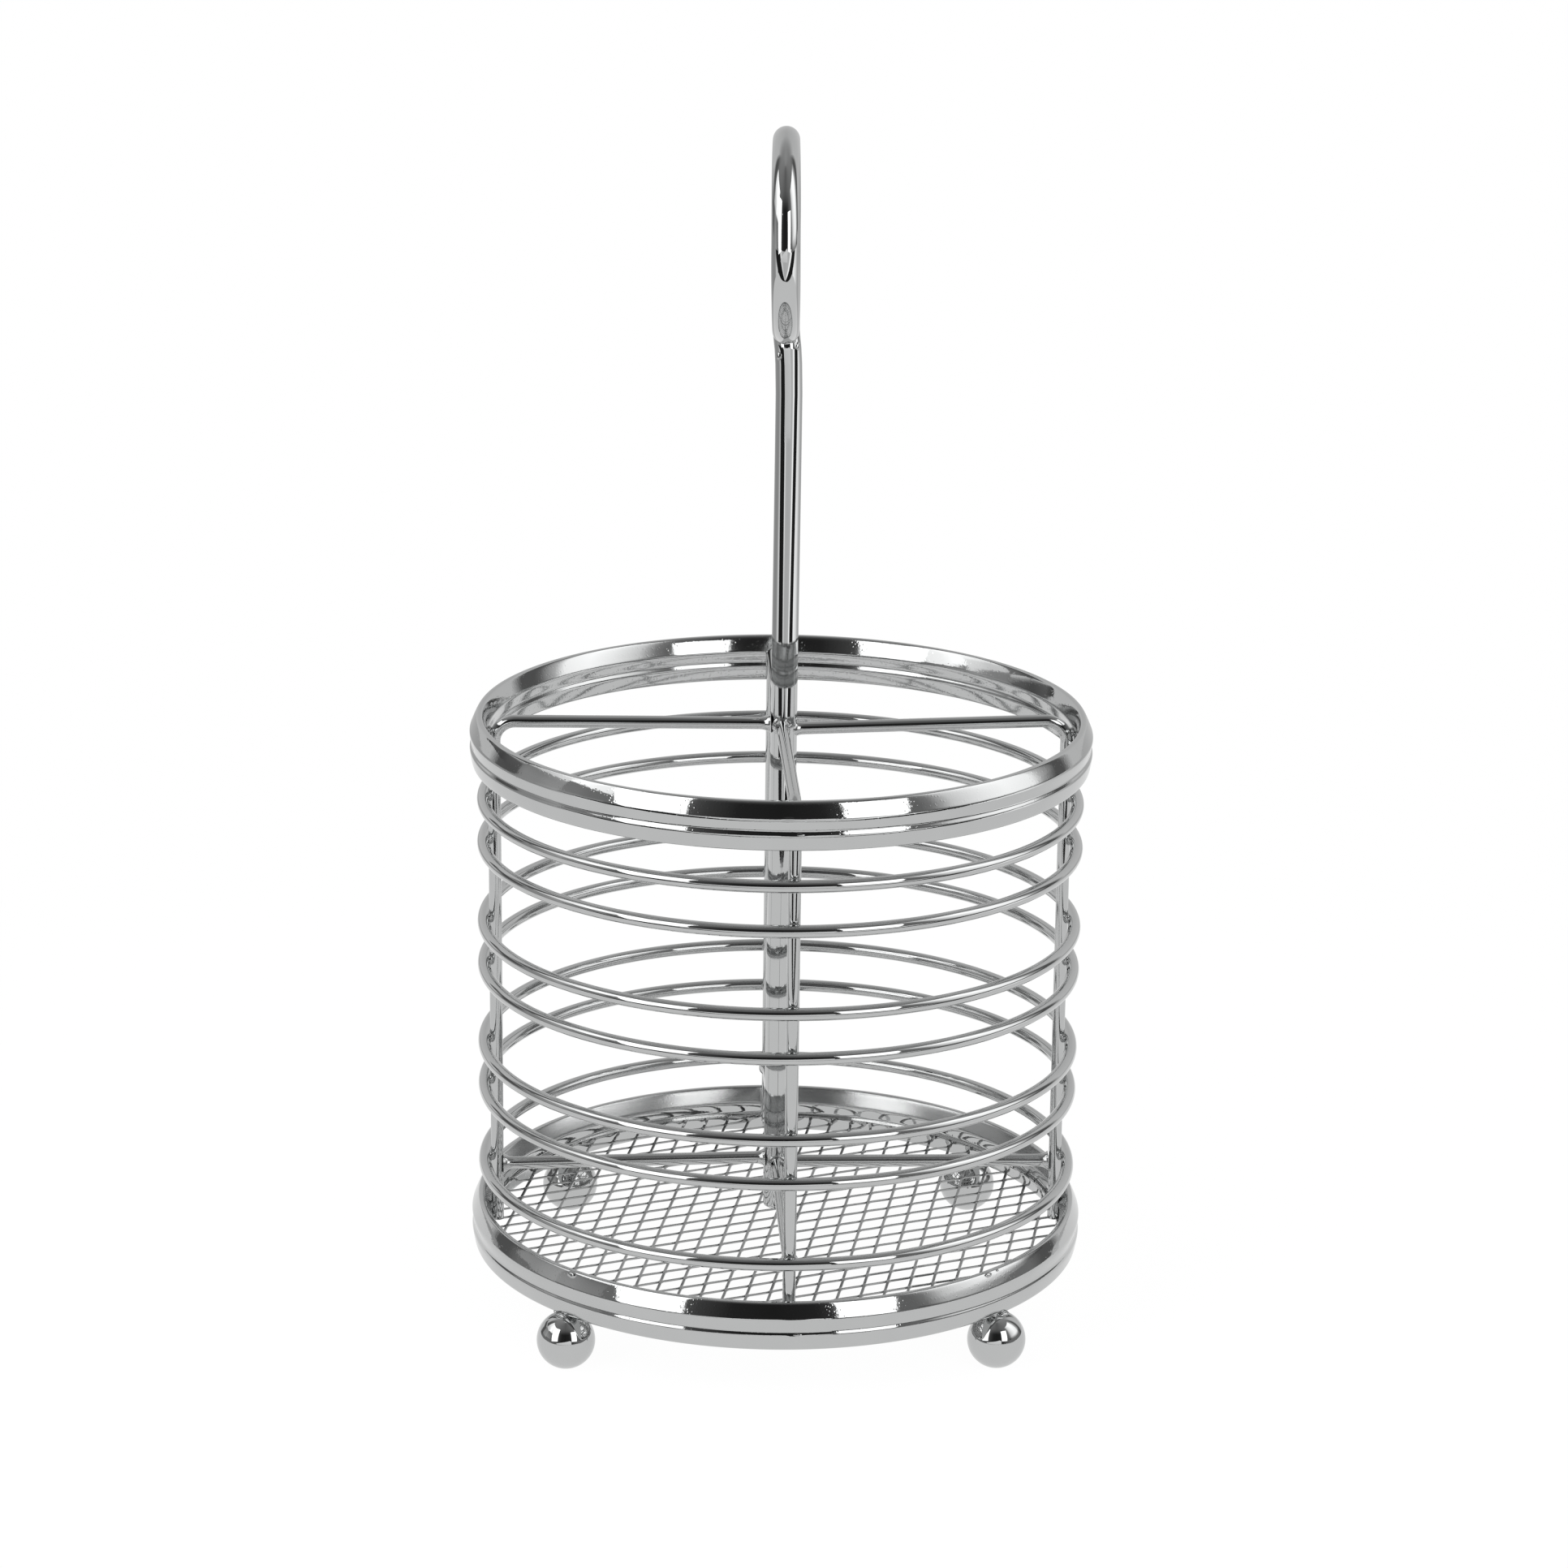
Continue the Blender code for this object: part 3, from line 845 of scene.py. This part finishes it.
hoopWelds = []
innerRadius = hoopRadius - hoop["thickness"] - weld["hoopSink"]
for side, turn in sideTurns.items():
    sideways = wire["barSet"][side][4] * mm
    for inRim, inBase in zip(weld["rimHeights"], weld["baseHeights"]):
        for height in (rimLow.z + inRim * mm, baseLow.z + inBase * mm):
            spot = turned((innerRadius, sideways, height), turn)
            hoopWelds.append((spot, turn, uneven(weld["hoopLump"], turn + height * 900)))
for bottom, (turn, radial, half) in ((rimLow.z, weld["rimPimple"]), (baseLow.z, weld["basePimple"])):
    hoopWelds.append((turned((radial * mm, 0, bottom + weld["pimpleHeight"]), turn), turn, half))
makeWelds("welds_hoops", hoopWelds)

spatter = []
for turn, radial, height, half in weld["spatter"]:
    spatter.append((turned((radial * mm, 0, height * mm), turn), turn, half))
makeWelds("welds_spatter", spatter)

ballWelds = []
for centre in footPlaces.values():
    turn = math.degrees(math.atan2(centre.y, centre.x))
    for out, along, half in weld["footLumps"]:
        neck = Vector((centre.x, centre.y, baseLow.z - weld["footSink"]))
        ballWelds.append((neck + turned((out * mm, along * mm, 0), turn), turn, half))
makeWelds("welds_feet", ballWelds)

neckWelds = []
for sideways, forward, height, half in weld["neckLumps"]:
    spot = Vector((rodLean(height * mm) + sideways * mm, -forward * mm, height * mm))
    neckWelds.append((spot, 0.0, half))
makeWelds("welds_neck", neckWelds)
print("weld metal set")


photoWidth = 1932
camera = dict(
    lens=111.356,
    sensor=36.0,
    distance=1068.80 * mm,
    azimuth=2.0268,          # degrees to the left of the front
    elevation=16.2746,
    target=(0.0, 0.0, 121.75 * mm),
    roll=0.7118,
    shiftX=3.8237 / photoWidth,
    shiftY=-18.7367 / photoWidth,
)


# A direction from the middle: degrees to the right of the front, and up
def direction(azimuth, elevation):
    turn, rise = math.radians(azimuth), math.radians(elevation)
    return Vector((math.sin(turn) * math.cos(rise), -math.cos(turn) * math.cos(rise), math.sin(rise)))


def aimAlong(item, aim, roll):
    look = aim.to_track_quat("-Z", "Y").to_matrix() @ Matrix.Rotation(math.radians(roll), 3, "Z")
    item.rotation_mode = "QUATERNION"
    item.rotation_quaternion = look.to_quaternion()


lens = bpy.data.cameras.new("camera")
lens.lens = camera["lens"]
lens.sensor_width = camera["sensor"]
lens.shift_x = camera["shiftX"]
lens.shift_y = camera["shiftY"]
lens.clip_start = 0.01
lens.clip_end = 20.0
viewer = addObject("camera", lens)
towardsCamera = direction(-camera["azimuth"], camera["elevation"])
viewer.location = Vector(camera["target"]) + towardsCamera * camera["distance"]
aimAlong(viewer, -towardsCamera, camera["roll"])
scene.camera = viewer


studio = dict(
    facing=-camera["azimuth"],   # studio azimuths count from the camera, to its right
    centre=(0.0, 0.0, 60 * mm),
    reach=900 * mm,
    # azimuth, elevation, width, height in degrees, brightness, tilt
    softboxes=((-48.0, 27.5, 25.4, 46, 2.0, 12), (34.6, 25, 21.4, 37, 2.0, -7)),
    # cards at the sides: brightness by azimuth in degrees, then its share by height in mm
    diffusers=(
        (((-136, 0.30), (-130, 1.00), (-125, 0.80), (-120, 0.62), (-115, 0.85), (-107, 0.86)),
         ((230, 0.14), (350, 0.18), (390, 0.50), (420, 0.90), (440, 0.90))),
        (((-107, 0.70), (-104, 0.84), (-96, 0.86), (-91, 1.00), (-84, 1.10)),
         ((120, 0.50), (330, 0.45), (400, 0.40), (450, 0.45), (470, 1.10), (600, 1.20), (690, 1.6),
          (1150, 1.9))),
        (((-84, 1.10), (-77, 1.10), (-72, 0.95), (-64, 0.88)),
         ((160, 0.42), (330, 0.33), (400, 0.27), (497, 0.25), (510, 1.70), (690, 1.7), (1150, 1.9))),
        (((52, 0.22), (56, 0.30), (60, 0.60), (64, 1.00), (70, 1.25), (80, 1.60), (88, 1.78),
          (101, 1.65), (106, 0.75), (111, 0.45), (115, 0.20)),
         ((150, 0.22), (181, 0.27), (212, 0.49), (258, 0.72), (290, 0.90), (620, 1.0), (1300, 1.15))),
    ),
    # the card in front, and how high it reaches at each azimuth
    frontCard=(((-35, 0.95), (20, 1.05)), ((0, 0.85), (120, 0.95), (240, 1.0))),
    frontCrown=((-35, 0.25), (-18, 0.55), (2, 0.8), (14, 1.0), (20, 0.8)),
    cardSteps=24,
    # the room behind the cards, low and high: share of the way from front to back, brightness
    roomLow=((0.0, 0.019), (0.09, 0.026), (0.16, 0.07), (0.22, 0.16), (0.33, 0.22), (0.60, 0.24),
             (0.64, 0.13), (0.69, 0.13), (0.73, 0.74), (1.0, 0.60)),
    roomHigh=((0.0, 0.16), (0.5, 0.30), (1.0, 0.42)),
    roomClimb=(0.60, 0.93),      # height of a look, 0 to 1, between which one gives way to the other
    fill=0.45,
    floorSize=4.0,
    floorWhite=0.86,
    floorEdge=535 * mm,
    edgeBlur=0.02,
    # ground past the table, from the back over left, front and right: degrees, brightness
    ground=((-180, 0.62), (-130, 0.42), (-100, 0.40), (-88, 0.45), (-80, 0.72), (-74, 1.00), (-67, 1.05),
            (-62, 0.50), (-59, 0.04), (64, 0.04), (67, 0.80), (70, 1.50), (76, 1.50), (84, 1.25),
            (90, 1.30), (96, 1.30), (108, 0.85), (130, 0.55), (180, 0.62)),
    tableFront=325 * mm,
    pointBlur=(14 * mm, 24 * mm),
    # the table's dark front edge and the ground past it, with a painted reflection of each softbox in
    # the glossy floor as the bright stripe beside the dark: degrees round the point of the edge,
    # brightness
    frontGroundAndSoftboxGlare=((-92, 0.02), (-49, 0.02), (-46, 0.60), (-44, 1.30), (-37, 1.20), (-31, 0.72), (0, 0.67),
                 (42, 0.72), (50, 1.00), (55, 1.60), (62, 1.70), (65, 0.60), (67, 0.02), (97, 0.02)),
    shadowShare=0.10,
    shadowReach=(100 * mm, 350 * mm),
    paperGlow=0.6,               # makes up what the lit paper lacks to white
)

for index, softbox in enumerate(studio["softboxes"], start=1):
    azimuth, elevation, width, height, brightness, tilt = softbox
    lamp = bpy.data.lights.new(f"softbox{index}", "AREA")
    lamp.shape = "RECTANGLE"
    lamp.size = 2 * studio["reach"] * math.tan(math.radians(width / 2))
    lamp.size_y = 2 * studio["reach"] * math.tan(math.radians(height / 2))
    lamp.energy = math.pi * lamp.size * lamp.size_y * brightness
    box = addObject(f"softbox{index}", lamp)
    aim = direction(azimuth + studio["facing"], elevation)
    box.location = Vector(studio["centre"]) + aim * studio["reach"]
    aimAlong(box, -aim, tilt)
    box.visible_camera = False


def blend(stops, place):
    for (low, before), (high, after) in zip(stops, stops[1:]):
        if place <= high:
            return before + (after - before) * max(0.0, (place - low) / (high - low))
    return stops[-1][1]


# Moves stops of any range on to 0 to 1
def asShares(stops, first, last):
    return [((place - first) / (last - first), value) for place, value in stops]


def emptyTree(owner):
    owner.use_nodes = True
    owner.node_tree.nodes.clear()
    return owner.node_tree


def cardPaint(name, across, up):
    paint = bpy.data.materials.new(name)
    tree = emptyTree(paint)
    sheet = addNode(tree, "ShaderNodeUVMap", uv_map="UVMap").outputs[0]
    axes = addNode(tree, "ShaderNodeSeparateXYZ", {0: sheet}).outputs
    sideways = ramped(tree, axes["X"], asShares(across, across[0][0], across[-1][0]))
    upwards = ramped(tree, axes["Y"], asShares(up, up[0][0], up[-1][0]))
    glow = addNode(tree, "ShaderNodeEmission", {"Strength": maths(tree, "MULTIPLY", sideways, upwards)})
    addNode(tree, "ShaderNodeOutputMaterial", {"Surface": glow.outputs[0]})
    return paint


# A card that only the metal sees, curved round the caddy: its brightness is a ramp across times one up
def makeCard(name, across, up, crown=((0, 1.0), (1, 1.0))):
    first, last, foot, top = across[0][0], across[-1][0], up[0][0], up[-1][0]
    shape = bmesh.new()
    cover = shape.loops.layers.uv.new("UVMap")
    steps = studio["cardSteps"]
    for step in range(steps):
        corners = ((step, 0), (step + 1, 0), (step + 1, 1), (step, 1))
        points = []
        for place, level in corners:
            azimuth = first + (last - first) * place / steps
            aim = direction(azimuth + studio["facing"], 0) * studio["reach"]
            height = (foot + (top - foot) * level * blend(crown, azimuth)) * mm
            points.append(shape.verts.new((aim.x, aim.y, height)))
        face = shape.faces.new(points)
        for loop, (place, level) in zip(face.loops, corners):
            loop[cover].uv = (place / steps, level)
    mesh = bpy.data.meshes.new(name)
    shape.to_mesh(mesh)
    shape.free()
    mesh.materials.append(cardPaint(name, across, up))
    card = addObject(name, mesh)
    card.visible_camera = False
    card.visible_shadow = False
    card.visible_diffuse = False


for index, (across, up) in enumerate(studio["diffusers"], start=1):
    makeCard(f"diffuser{index}", across, up)
makeCard("frontCard", *studio["frontCard"], crown=studio["frontCrown"])


def spunAboutUp(tree, vector, degrees):
    return addNode(tree, "ShaderNodeVectorRotate", {
        "Vector": vector, "Axis": (0.0, 0.0, 1.0), "Angle": math.radians(degrees)},
        rotation_type="AXIS_ANGLE").outputs[0]


# Share of the way round a point, counted from its -X side
def roundPoint(tree, vector):
    sweep = addNode(tree, "ShaderNodeTexGradient", {"Vector": vector}, gradient_type="RADIAL")
    return sweep.outputs["Fac"]


# The room that the metal mirrors; the camera sees plain white
world = bpy.data.worlds.new("studio")
scene.world = world
tree = emptyTree(world)
ray = addNode(tree, "ShaderNodeLightPath").outputs
look = spunAboutUp(tree, addNode(tree, "ShaderNodeTexCoord").outputs["Generated"], -studio["facing"])
level = vectorMaths(tree, "NORMALIZE", vectorMaths(tree, "MULTIPLY", look, (1.0, 1.0, 0.0)))
depth = addNode(tree, "ShaderNodeSeparateXYZ", {0: level}).outputs["Y"]
towardsFront = maths(tree, "MULTIPLY", depth, -1.0)
share = maths(tree, "DIVIDE", maths(tree, "ARCCOSINE", towardsFront), math.pi)
height = addNode(tree, "ShaderNodeSeparateXYZ", {0: look}).outputs["Z"]
climb = mapped(tree, height, *studio["roomClimb"], kind="SMOOTHSTEP")
low, high = (ramped(tree, share, studio[name]) for name in ("roomLow", "roomHigh"))
room = mixed(tree, climb, low, high)
mirrored = maths(tree, "MAXIMUM", ray["Is Glossy Ray"], ray["Is Transmission Ray"])
lighting = mixed(tree, mirrored, grey(studio["fill"]), room)
shown = mixed(tree, ray["Is Camera Ray"], lighting, grey(1.0))
sky = addNode(tree, "ShaderNodeBackground", {"Color": shown, "Strength": 1.0})
addNode(tree, "ShaderNodeOutputWorld", {"Surface": sky.outputs[0]})

# Pale floor: the camera sees it white, with the caddy's shadow laid faintly over. Past the table's
# edge the metal mirrors the studio around it, light and dark by turns. This is painted on the floor for
# the metal only, with painted reflections of the softboxes as bright stripes beside the table's front
# edge
floorPaint = bpy.data.materials.new("matWhitePaper")
tree = emptyTree(floorPaint)
ray = addNode(tree, "ShaderNodeLightPath").outputs
mirrored = maths(tree, "MAXIMUM", ray["Is Glossy Ray"], ray["Is Transmission Ray"])
place = addNode(tree, "ShaderNodeTexCoord").outputs["Object"]
spun = spunAboutUp(tree, place, 90 - studio["facing"])
reach = vectorMaths(tree, "LENGTH", place)
edge, blur = studio["floorEdge"], studio["edgeBlur"]
beyond = mapped(tree, reach, edge * (1 - blur), edge * (1 + blur))
ground = ramped(tree, roundPoint(tree, spun), asShares(studio["ground"], -180, 180))
sides = mixed(tree, beyond, grey(studio["floorWhite"]), ground)
fromPoint = vectorMaths(tree, "SUBTRACT", spun, (studio["tableFront"], 0.0, 0.0))
around = roundPoint(tree, fromPoint)
# the bright stripes in this ramp are painted reflections of the two softboxes in the glossy floor
front = ramped(tree, around, asShares(studio["frontGroundAndSoftboxGlare"], -180, 180))
first, last = studio["frontGroundAndSoftboxGlare"][0][0], studio["frontGroundAndSoftboxGlare"][-1][0]
frontStops = ((first - 2, 0.0), (first, 1.0), (last, 1.0), (last + 2, 0.0))
isFront = ramped(tree, around, asShares(frontStops, -180, 180))
pastPoint = mapped(tree, vectorMaths(tree, "LENGTH", fromPoint), *studio["pointBlur"])
pattern = mixed(tree, isFront, sides, maths(tree, "MULTIPLY", front, pastPoint))
tone = mixed(tree, mirrored, grey(1.0), pattern)
near = mapped(tree, reach, *studio["shadowReach"], studio["shadowShare"], 0.0)
spared = maths(tree, "MULTIPLY_ADD", near, studio["paperGlow"], 1.0)
glow = addNode(tree, "ShaderNodeEmission", {"Color": tone, "Strength": spared})
paper = addNode(tree, "ShaderNodeBsdfDiffuse", {"Color": linear("#f4f4f4")})
lit = addNode(tree, "ShaderNodeMixShader", {0: near, 1: glow.outputs[0], 2: paper.outputs[0]})
seen = maths(tree, "MAXIMUM", mirrored, ray["Is Camera Ray"])
paperOnly = addNode(tree, "ShaderNodeMixShader", {0: seen, 1: paper.outputs[0], 2: lit.outputs[0]})
addNode(tree, "ShaderNodeOutputMaterial", {"Surface": paperOnly.outputs[0]})

shape = bmesh.new()
bmesh.ops.create_grid(shape, x_segments=1, y_segments=1, size=studio["floorSize"])
floor = meshPiece("floor", shape, floorPaint, smooth=False)

scene.view_settings.view_transform = "Standard"
print("camera, lamps and floor set")
